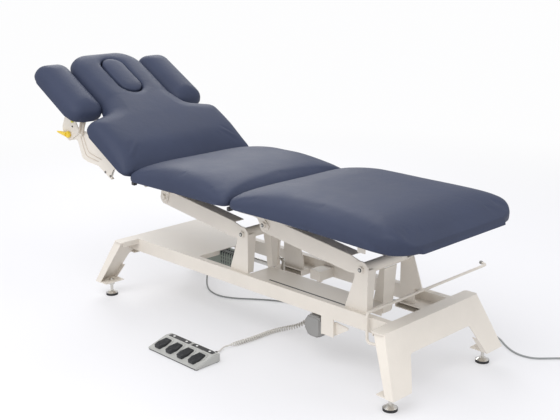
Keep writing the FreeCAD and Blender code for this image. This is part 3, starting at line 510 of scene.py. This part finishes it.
def slab(name, outline, hole, height):
    """Upright slab of the outline, with the hole if there is one, remeshed to even squares."""
    bm = bmesh.new()
    rings = [outline] + ([hole] if hole else [])
    edges = []
    for ring in rings:
        verts = [bm.verts.new((p[0], p[1], 0)) for p in ring]
        for i, v in enumerate(verts):
            edges.append(bm.edges.new((v, verts[(i + 1) % len(verts)])))
    bmesh.ops.triangle_fill(bm, edges=edges, use_beauty=True)
    made = bmesh.ops.extrude_face_region(bm, geom=bm.faces[:])
    lifted = [e for e in made["geom"] if isinstance(e, bmesh.types.BMVert)]
    bmesh.ops.translate(bm, verts=lifted, vec=(0, 0, height))
    bmesh.ops.recalc_face_normals(bm, faces=bm.faces[:])
    mesh = bpy.data.meshes.new(name)
    bm.to_mesh(mesh)
    bm.free()
    obj = bpy.data.objects.new(name, mesh)
    bpy.context.scene.collection.objects.link(obj)
    mod = obj.modifiers.new("remesh", "REMESH")
    mod.mode = "VOXEL"
    mod.voxel_size = ROW
    apply_all(obj)
    return obj


def apply_all(obj):
    bpy.context.view_layer.update()
    dg = bpy.context.evaluated_depsgraph_get()
    made = bpy.data.meshes.new_from_object(obj.evaluated_get(dg))
    obj.modifiers.clear()
    obj.data = made


def read(mesh):
    co = np.empty(len(mesh.vertices) * 3)
    mesh.vertices.foreach_get("co", co)
    return co.reshape(-1, 3)


def write(mesh, co):
    mesh.vertices.foreach_set("co", co.ravel())
    mesh.update()


def rise(d, reach, power=0.45):
    """Height share of a stuffed edge at a distance d inside it: steep at the edge, then a long slope."""
    u = np.clip(d / reach, 0, 1)
    return (1 - (1 - u) ** 2) ** power


def soft_least(parts):
    """The smallest of several height shares, blended where two are alike, as at a mitred corner."""
    total = sum(np.maximum(p, 1e-3) ** -7.0 for p in parts)
    return np.clip(total ** (-1 / 7.0), 0, 1)


def relax(obj, cap, pressure, frames=16):
    """Cloth under pressure for a few frames, then no point is left further than cap from where it was."""
    before = read(obj.data)
    low = before[:, 2].min()
    pin = obj.vertex_groups.new(name="pin")
    held = [int(i) for i in np.nonzero(before[:, 2] < low + 0.004)[0]]
    pin.add(held, 1.0, "REPLACE")
    cloth = obj.modifiers.new("cloth", "CLOTH")
    cs = cloth.settings
    cs.quality = 5
    cs.mass = 0.4
    cs.tension_stiffness = 22
    cs.compression_stiffness = 22
    cs.shear_stiffness = 8
    cs.bending_stiffness = 1.2
    cs.use_pressure = True
    cs.uniform_pressure_force = pressure
    cs.vertex_group_mass = "pin"
    cs.effector_weights.gravity = 0
    scene = bpy.context.scene
    cloth.point_cache.frame_start = 1
    cloth.point_cache.frame_end = frames
    for f in range(1, frames + 1):
        scene.frame_set(f)
    dg = bpy.context.evaluated_depsgraph_get()
    after = read(obj.evaluated_get(dg).to_mesh()).copy()
    obj.modifiers.clear()
    obj.vertex_groups.clear()
    scene.frame_set(1)
    move = after - before
    size = np.linalg.norm(move, axis=1)
    share = np.minimum(1, cap / np.maximum(size, 1e-9))
    write(obj.data, before + move * share[:, None])


def soft_pad(name, node, body, outline, profile, high=PAD_HIGH, hole=None, matrix=None,
             cap=0.0018, wrap=None):
    """A stuffed pad over the outline. profile(co, d) gives the height share of each point,
    wrap(co, d) how far the cover goes down below the board."""
    obj = slab(name, outline, hole, 0.06)
    co = read(obj.data)
    up = np.clip(co[:, 2] / 0.06, 0, 1)
    plan = co[:, :2].copy()
    d, place = nearest(plan, outline)
    away = plan - place
    away /= np.maximum(np.linalg.norm(away, axis=1), 1e-9)[:, None]
    reach = 0.06
    near = np.clip(d / reach, 0, 1)
    d2 = np.where(d < reach, reach * near ** 1.7, d)
    wall = np.clip((d - ROW * 0.6) / (ROW * 0.5), 0, 1)
    d2 = d2 * wall
    tuck = 0.006 * np.clip(1 - up * 5, 0, 1) ** 2 + 0.004 * (1 - up)
    top = up > 0.5
    out = place + away * (np.where(top, d2, d) + tuck * (1 - wall))[:, None]
    share = profile(out, d2)
    if hole:
        dh = nearest(out, hole)[0]
        share = soft_least([share, 0.62 + 0.38 * rise(dh, 0.03)])
    z = up * (EDGE_HIGH + (high - EDGE_HIGH) * share)
    new = np.column_stack([out, z])
    write(obj.data, new)
    even = obj.modifiers.new("even", "SMOOTH")
    even.factor = 0.5
    even.iterations = 6
    apply_all(obj)
    relax(obj, cap, 1.5)
    if wrap:
        co = read(obj.data)
        co[:, 2] -= wrap(out, d) * (1 - up)
        write(obj.data, co)
    finer = obj.modifiers.new("finer", "SUBSURF")
    finer.levels = 1
    finer.render_levels = 1
    apply_all(obj)
    obj.data.transform(matrix or Matrix.Translation(Vector((OX, OY, PAD_UNDER))))
    for p in obj.data.polygons:
        p.use_smooth = True
    paint(obj, M["vinyl"])
    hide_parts(node)
    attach(obj, body)
    return obj


def pull_in(points, x0, x1, y0, y1, depth):
    """The sides of a tight cover come in a little between its corners."""
    out = []
    for p in points:
        u = (p[0] - x0) / (x1 - x0)
        v = (p[1] - y0) / (y1 - y0)
        q = Vector((p[0], p[1]))
        if min(v, 1 - v) < 0.12:
            q.y += depth * math.sin(math.pi * u) * (1 if v < 0.5 else -1)
        out.append(q)
    return out


def block_outline(x0, x1, r0, r1):
    corners = [(x0, -PAD_HALF), (x1, -PAD_HALF), (x1, PAD_HALF), (x0, PAD_HALF)]
    return pull_in(rounded(corners, [r0, r1, r1, r0]), x0, x1, -PAD_HALF, PAD_HALF, 0.004)


SEAT_X = (-0.498, 0.045)
LEG_X = (0.053, 0.804)


def dome(run):
    """Share of the full crown at a distance from a seam: the middle of a pad stands above its seams."""
    return SEAM_SHARE + (1 - SEAM_SHARE) * np.sin(np.clip(run / 0.23, 0, 1) * math.pi / 2)


def crown_across(co, run):
    """Crown between the two long sides: long and low at a seam, short and full away from it."""
    reach = np.interp(run, [0, 0.20], [0.27, CROWN_SIDE])
    return rise(PAD_HALF - np.abs(co[:, 1]), reach)


def seat_profile(co, d):
    to_head = co[:, 0] - SEAT_X[0]
    to_foot = SEAT_X[1] - co[:, 0]
    run = np.minimum(to_head, to_foot)
    across = crown_across(co, run)
    corner = rise(d, np.interp(run, [0, 0.2], [0.058, 0.10]))
    return soft_least([across, rise(to_head, CROWN_HINGE), rise(to_foot, CROWN_HINGE), corner]) * dome(run)


def leg_profile(co, d):
    to_head = co[:, 0] - LEG_X[0]
    across = crown_across(co, to_head)
    foot = rise(LEG_X[1] - co[:, 0], CROWN_END, 0.86)
    full = np.interp(to_head, [0, 0.30, 0.75], [1, 1, 0.95])
    corner = rise(d, np.interp(to_head, [0, 0.2], [0.058, 0.115]))
    return soft_least([across, rise(to_head, CROWN_HINGE), foot, corner]) * dome(to_head) * full


def leg_wrap(co, d):
    rim = np.clip((0.036 - d) / 0.016, 0, 1)
    return 0.014 * rim * np.clip((co[:, 0] - 0.30) / 0.46, 0, 1)


soft_pad("seat_pad_soft", "seat_pad", "seat", block_outline(*SEAT_X, 0.028, 0.034), seat_profile)
soft_pad("leg_pad_soft", "leg_pad", "leg", block_outline(*LEG_X, 0.034, 0.100), leg_profile, wrap=leg_wrap)

# The back pad is drawn flat with s towards the head (here -X) and t across.

BACK_S = (0.010, 0.738)
HEAD_HALF = 0.178
SHOULDER = 0.331
NECK = [(BACK_S[0], SHOULDER), (0.302, SHOULDER), (0.346, 0.200), (0.420, HEAD_HALF),
        (BACK_S[1], HEAD_HALF)]
HOLE_S = (0.435, 0.664)
HOLE_HALF = 0.054
BACK_HIGH = 0.071


def back_outline():
    points = [(-s, t) for s, t in NECK] + [(-s, -t) for s, t in reversed(NECK)]
    radii = [0.022, 0.050, 0.040, 0.070, 0.110]
    return rounded(points, radii + radii[::-1])


def oval(s0, s1, half):
    r = half - 0.0005
    return rounded([(-s0, half), (-s1, half), (-s1, -half), (-s0, -half)], [r] * 4, 0.004)


def back_profile(co, d):
    s = -co[:, 0]
    t = np.abs(co[:, 1])
    hinge = rise(s - BACK_S[0], 0.07)
    reach = np.interp(s, [0, 0.15, 0.30, 0.45, 0.72], [0.24, 0.13, 0.14, 0.11, 0.11])
    full = np.interp(s, [0, 0.10, 0.28, 0.42], [1.12, 1.28, 1.26, 1])
    return soft_least([rise(d, reach), hinge]) * dome(s - BACK_S[0]) * full


soft_pad("back_pad_soft", "back_pad", "back", back_outline(), back_profile, BACK_HIGH,
         hole=oval(HOLE_S[0] - 0.001, HOLE_S[1] + 0.001, HOLE_HALF + 0.001), matrix=BACK, cap=0.0013)


def plug_profile(co, d):
    return 0.80 + 0.20 * rise(d, 0.045)


soft_pad("face_plug_soft", "face_plug", "plug",
         oval(HOLE_S[0] + 0.0025, HOLE_S[1] - 0.0025, HOLE_HALF - 0.0025), plug_profile, BACK_HIGH,
         matrix=BACK, cap=0.0012)

REST_S = (0.368, 0.706)
REST_T = (0.182, 0.341)


def rest_outline(side):
    t0, t1 = REST_T
    points = [(-REST_S[0], t0), (-REST_S[1], t0), (-REST_S[1], t1), (-REST_S[0], t1)]
    ring = rounded(points, [0.044, 0.052, 0.054, 0.042])
    if side < 0:
        ring = [Vector((p[0], -p[1])) for p in reversed(ring)]
    return ring


def rest_profile(co, d):
    return rise(d, 0.075, 0.42)


for side, tag in ((-1, "near"), (1, "far")):
    soft_pad("rest_pad_%s_soft" % tag, "rest_pad_%s" % tag, "rest_%s" % tag, rest_outline(side),
             rest_profile, 0.072, matrix=BACK @ Matrix.Translation(Vector((0, 0, -0.015))))


# Small parts

def block(name, x0, x1, y0, y1, z0, z1, mat, body, bevel=0.0, matrix=None):
    return prism(name, [(x0, y0), (x1, y0), (x1, y1), (x0, y1)], z0, z1, mat, body, "z", matrix, bevel)


def disc(name, centre, direction, radius, length, mat, body, ease=0.0006, sides=32):
    """Round piece in metres from a centre along a direction, with eased rims."""
    radii = [max(radius - ease, 0.0002), radius, radius, max(radius - ease, 0.0002)]
    d = Vector(direction).normalized()
    c = Vector(centre)
    line = [c, c + d * ease, c + d * (length - ease), c + d * length]
    obj = tube_along(name, line, radii, mat, sides)
    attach(obj, body)
    return obj


def rail(name, points, radius, mat, body, per=6):
    """Round rib along given points, smoothed as the cords are."""
    line = line_of(points, per)
    radii = [radius] * len(line)
    radii[0] = radius * 0.5
    radii[-1] = radius * 0.5
    obj = tube_along(name, line, radii, mat, 12)
    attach(obj, body)
    return obj


# Foot switch

SW_X0, SW_X1 = -173, 91
SW_Y0, SW_Y1 = -497, -388
SW_SHELF = -418
SW_FRONT = 10
SW_BACK = 33
PEDAL_PITCH = 61


def slope_z(y):
    return SW_FRONT + (SW_BACK - SW_FRONT) * (y - SW_Y0) / (SW_SHELF - SW_Y0)


def foot_switch():
    side = [(SW_Y0, 3), (SW_Y1, 3), (SW_Y1, SW_BACK - 1), (SW_SHELF, SW_BACK), (SW_Y0, SW_FRONT)]
    housing = prism("switch_shell", side, SW_X0, SW_X1, M["switch"], "base", "x", None, 2.2, 3)
    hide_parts("switch_housing")
    feet = [(SW_X0 + 12, SW_Y0 + 10), (SW_X1 - 12, SW_Y0 + 10), (SW_X0 + 12, SW_Y1 - 10),
            (SW_X1 - 12, SW_Y1 - 10)]
    for i, (x, y) in enumerate(feet):
        disc("switch_foot_%d" % (i + 1), at(x, y, 0), (0, 0, 1), 0.0085, 0.0036, M["rubber"], "base")
    block("switch_base_line", SW_X0 + 3, SW_X1 - 3, SW_Y0 + 0.6, SW_Y1 - 3, 1.6, 3.4, M["dark"], "base",
          0.4)
    disc("switch_cord_bush", at(40, SW_Y1 - 2, 14), (0, 1, 0), 0.0058, 0.009, M["switch"], "base")
    mid = (SW_X0 + SW_X1) / 2
    for k in (-1, 1):
        c = mid + k * 62
        strip = 1 if k < 0 else 2
        plan = [(c - 56, -414), (c + 56, -414), (c + 56, -398), (c + 40, -393), (c - 40, -393),
                (c - 56, -398)]
        prism("switch_strip_%d" % strip, plan, SW_BACK - 1.4, SW_BACK + 0.5, M["dark"], "base", bevel=0.4)
        for j in (-1, 1):
            dot = 1 if j < 0 else 2
            disc("switch_dot_%d_%d" % (strip, dot), at(c + j * 34, -404, SW_BACK + 0.2), (0, 0, 1), 0.0046,
                 0.0011, M["white"], "base", 0.0004)
    for i in range(4):
        x = mid + (i - 1.5) * PEDAL_PITCH
        pedal(i + 1, x)
        ridge = []
        for dx, y in ((-23, -426), (-10, -422), (12, -422), (21, -430), (26, -448), (25, -466), (17, -482)):
            ridge.append(at(x + dx, y, slope_z(y) + 0.4))
        rail("switch_ridge_%d" % (i + 1), ridge, 0.0021, M["switch"], "base")


def pedal(number, x):
    plan = [(x - 13, -486), (x + 13, -486), (x + 20, -462), (x + 15, -428), (x - 15, -428), (x - 20, -462)]
    slant = math.atan2(8, 60)
    matrix = (Matrix.Translation(at(0, -418, 0)) @ Matrix.Rotation(slant, 4, "X")
              @ Matrix.Translation(Vector((0, 0.418, 0))))
    body = "pedal_%d" % number
    shoe = prism("pedal_shoe_%d" % number, plan, 22, 36, M["pedal"], body, matrix=matrix, bevel=1.6)
    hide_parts("pedal_%d" % number)
    for k in range(5):
        rx = x + (k - 2) * 6.0
        y0 = -483 if abs(k - 2) < 2 else -474
        block("pedal_%d_rib_%d" % (number, k + 1), rx - 1.1, rx + 1.1, y0, -431, 35.4, 37.2, M["pedal"],
              body, 0.4, matrix)


foot_switch()


# Pivot screws, slots and frame details

def screw(name, x, y, z, r, body, direction=(0, -1, 0)):
    """Dark countersunk ring with a bright button in it."""
    d = Vector(direction)
    disc(name + "_ring", at(x, y, z), d, r, 0.0010, M["dark"], body, 0.0003)
    disc(name + "_button", at(x, y, z) + d * 0.0006, d, r * 0.6, 0.0024, M["zinc"], body, 0.0008)


PIVOT_Z = 382
PIVOT_X = {"a": -44, "b": 516}
ARM_LENGTH = 452
ARM_TILT = math.radians(7.4)
ARM_UP_X = ARM_LENGTH * math.cos(ARM_TILT)
ARM_UP_Z = PIVOT_Z + ARM_LENGTH * math.sin(ARM_TILT)
HEAD_FACE = -161
for tag, px in PIVOT_X.items():
    screw("lower_pivot_%s" % tag, px, HEAD_FACE, PIVOT_Z, 0.0072, "base")
screw("upper_pivot_b", PIVOT_X["b"] - ARM_UP_X, HEAD_FACE, ARM_UP_Z, 0.0068, "seat")
# Dark strip standing for the slot in the tray: painted shade where the slot is.
block("tray_slot_shade", 88, 451, -149.5, -142.5, 238.2, 239.8, M["dark"], "base")
for k in range(7):
    x = -292 + k * 13
    block("motor_rib_%d" % (k + 1), x, x + 4, -39.4, -4.6, 176, 237.6, M["dark"], "base", 0.8)
for k in range(3):
    z = 188 + k * 14
    block("motor_side_rib_%d" % (k + 1), -300, -208, -39.6, -36, z, z + 4, M["motor"], "base", 0.8)
for tag, s in (("near", -1), ("far", 1)):
    corner_y = sorted((s * 296, s * 312))
    block("seat_corner_%s" % tag, -486, -468, *corner_y, 516, 531, M["dark"], "seat", 2.0)
    bit_y = sorted((s * 284, s * 306))
    block("hinge_bit_%s" % tag, 42, 56, *bit_y, 516, 530, M["dark"], "seat", 2.0)
end = at(545, 503, 258)
out = (at(545, 503, 258) - at(570, 496, 257)).normalized()
disc("rod_cap", end - out * 0.006, out, 0.0066, 0.012, M["grey"], "base", 0.0018)

for tag, px in PIVOT_X.items():
    level = (Matrix.Translation(at(px, 0, PIVOT_Z)) @ Matrix.Rotation(ARM_TILT, 4, "Y")
             @ Matrix.Translation(Vector((-px / 1000, 0, -PIVOT_Z / 1000))))
    block("arm_%s_cover" % tag, px - 440, px - 52, -146, -100, PIVOT_Z + 28, PIVOT_Z + 31, M["cream"],
          "arm_%s" % tag, 0.8, level)
shell = [(287, 126), (304, 101), (350, 101), (362, 111), (362, 167), (352, 177), (305, 177), (287, 151)]
box = prism("junction_shell", shell, -178, -122, M["grey"], "base", "y", bevel=6.0, segments=3)
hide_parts("junction_box")


# Armrest hardware

PLATE_T = 260.0


def local(s, t, n, side):
    return back_at(s, t * side, n)


def arm_hardware(side, tag):
    rest = "rest_%s" % tag
    # The posts use the darker copy of the cream coat, as painted shade.
    for i, (p, q) in enumerate((((404, -30), (392, -88)), ((385, -30), (374, -80)))):
        low = local(q[0], PLATE_T + 6.5, q[1], side)
        high = local(p[0], PLATE_T + 6.5, p[1], side)
        disc("post_%s_%d" % (tag, i + 1), low, high - low, 0.0055, (high - low).length, M["tan"], rest,
             0.001)
    # Fold ribs in the darker copy of the cream coat: painted shade along the folds of the arm plate.
    for i, pts in enumerate((((396, -96), (366, -118), (338, -140), (318, -150), (290, -140), (240, -118)),
                             ((378, -86), (350, -106), (329, -120), (311, -127), (281, -117), (226, -98)))):
        line = [local(s, PLATE_T + 0.6, n, side) for s, n in pts]
        rail("arm_fold_%s_%d" % (tag, i + 1), line, 0.0017, M["tan"], "back")
    for i, (s, n) in enumerate(((186, -128), (152, -121))):
        disc("arm_bolt_%s_%d" % (tag, i + 1), local(s, PLATE_T - 1, n, side), out_of(side), 0.0048, 0.0035,
             M["bolt"], "back")
    # Thin dark rod standing for the slot in the arm plate: painted shade in the slot.
    line = [local(146, PLATE_T + 0.3, -118, side), local(146, PLATE_T + 0.3, -84, side)]
    disc("arm_slot_%s" % tag, line[0], line[1] - line[0], 0.0014, (line[1] - line[0]).length, M["dark"],
         "back", 0.0004)
    disc("arm_screw_%s" % tag, local(448, PLATE_T + 4, -98, side), out_of(side), 0.0035, 0.003, M["dark"],
         rest)
    disc("arm_knob_%s" % tag, local(453, PLATE_T + 4, -75, side), out_of(side), 0.0048, 0.010, M["knob"],
         rest, 0.0015)
    lever(side, tag)


def out_of(side):
    return Vector((0, side, 0))


def lever(side, tag):
    """Clamp lever: a round hub with a grooved cap, and a tapering handle."""
    base_t = PLATE_T + 4.9
    body = "lever_%s" % tag
    hub_at = local(452, base_t, -141, side)
    hub = disc("clamp_hub_%s" % tag, hub_at, out_of(side), 0.0135, 0.014, M["yellow"], body, 0.0025)
    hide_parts("clamp_lever_%s" % tag)
    disc("clamp_cap_%s" % tag, hub_at + out_of(side) * 0.0135, out_of(side), 0.0065, 0.0016, M["yellow"],
         body, 0.0006)
    start = local(456, base_t + 8, -144, side)
    tip = local(520, base_t + 10, -176, side)
    line = []
    radii = []
    for k in range(15):
        u = k / 14
        line.append(start.lerp(tip, u))
        radii.append(0.0088 * (1 - u) ** 0.75 + 0.0022 if k < 14 else 0.0008)
    handle = tube_along("clamp_handle_%s" % tag, line, radii, M["yellow"], 20)
    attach(handle, body)


for side, tag in ((-1, "near"), (1, "far")):
    arm_hardware(side, tag)


# Floor and light

def plane(name, size, z, mat):
    bm = bmesh.new()
    bmesh.ops.create_grid(bm, x_segments=1, y_segments=1, size=size)
    mesh = bpy.data.meshes.new(name)
    bm.to_mesh(mesh)
    bm.free()
    obj = bpy.data.objects.new(name, mesh)
    obj.location.z = z
    bpy.context.scene.collection.objects.link(obj)
    paint(obj, mat)
    return obj


BACKDROP = (0.985, 0.985, 0.99)


def floor_material():
    """Pale matt floor that fades into an even backdrop away from the object."""
    m, nt, sh = new_material("floor")
    big = noise(nt, 0.7, 2.0, 0.5)
    col = ramp(nt, big.outputs["Fac"], 0.3, 0.7, (0.71, 0.705, 0.73), (0.73, 0.725, 0.75))
    nt.links.new(col.outputs[0], sh.inputs["Base Color"])
    sh.inputs["Roughness"].default_value = 0.55
    sh.inputs["Specular IOR Level"].default_value = 0.25
    coord = nt.nodes.new("ShaderNodeTexCoord")
    far = nt.nodes.new("ShaderNodeVectorMath")
    far.operation = "LENGTH"
    nt.links.new(coord.outputs["Object"], far.inputs[0])
    fade = nt.nodes.new("ShaderNodeMapRange")
    fade.interpolation_type = "SMOOTHSTEP"
    fade.inputs["From Min"].default_value = 1.3
    fade.inputs["From Max"].default_value = 4.2
    fade.inputs["To Min"].default_value = 0.38
    nt.links.new(far.outputs["Value"], fade.inputs["Value"])
    glow = nt.nodes.new("ShaderNodeEmission")
    glow.inputs[0].default_value = (*BACKDROP, 1)
    mix = nt.nodes.new("ShaderNodeMixShader")
    out = [n for n in nt.nodes if n.type == "OUTPUT_MATERIAL"][0]
    nt.links.new(fade.outputs[0], mix.inputs[0])
    nt.links.new(sh.outputs[0], mix.inputs[1])
    nt.links.new(glow.outputs[0], mix.inputs[2])
    nt.links.new(mix.outputs[0], out.inputs[0])
    return m


floor = plane("floor", 30.0, 0.0, floor_material())

world = bpy.data.worlds.new("studio")
world.use_nodes = True
bpy.context.scene.world = world
tree = world.node_tree
bg = tree.nodes["Background"]
bg.inputs[0].default_value = (0.93, 0.94, 0.97, 1)
bg.inputs[1].default_value = 0.87
seen = tree.nodes.new("ShaderNodeBackground")
seen.inputs[0].default_value = (*BACKDROP, 1)
seen.inputs[1].default_value = 1.0
path = tree.nodes.new("ShaderNodeLightPath")
mix = tree.nodes.new("ShaderNodeMixShader")
tree.links.new(path.outputs["Is Camera Ray"], mix.inputs[0])
tree.links.new(bg.outputs[0], mix.inputs[1])
tree.links.new(seen.outputs[0], mix.inputs[2])
tree.links.new(mix.outputs[0], tree.nodes["World Output"].inputs[0])


def area(name, place, target, size, power):
    data = bpy.data.lights.new(name, "AREA")
    data.shape = "RECTANGLE"
    data.size = size[0]
    data.size_y = size[1]
    data.energy = power
    obj = bpy.data.objects.new(name, data)
    obj.location = place
    obj.rotation_mode = "QUATERNION"
    obj.rotation_quaternion = (Vector(target) - Vector(place)).to_track_quat("-Z", "Y")
    bpy.context.scene.collection.objects.link(obj)
    return obj


area("key", (0.6, -2.0, 3.3), (0.1, 0, 0.5), (3.6, 3.0), 92)
area("front", (2.3, -2.7, 0.8), (0.1, 0, 0.45), (2.2, 1.1), 4.5)
area("fill", (3.2, 1.2, 2.4), (0.1, 0, 0.4), (2.0, 2.0), 16)
area("back", (-2.6, 1.8, 2.6), (0, 0, 0.5), (2.2, 2.0), 50)

bpy.context.scene.view_settings.view_transform = "Standard"
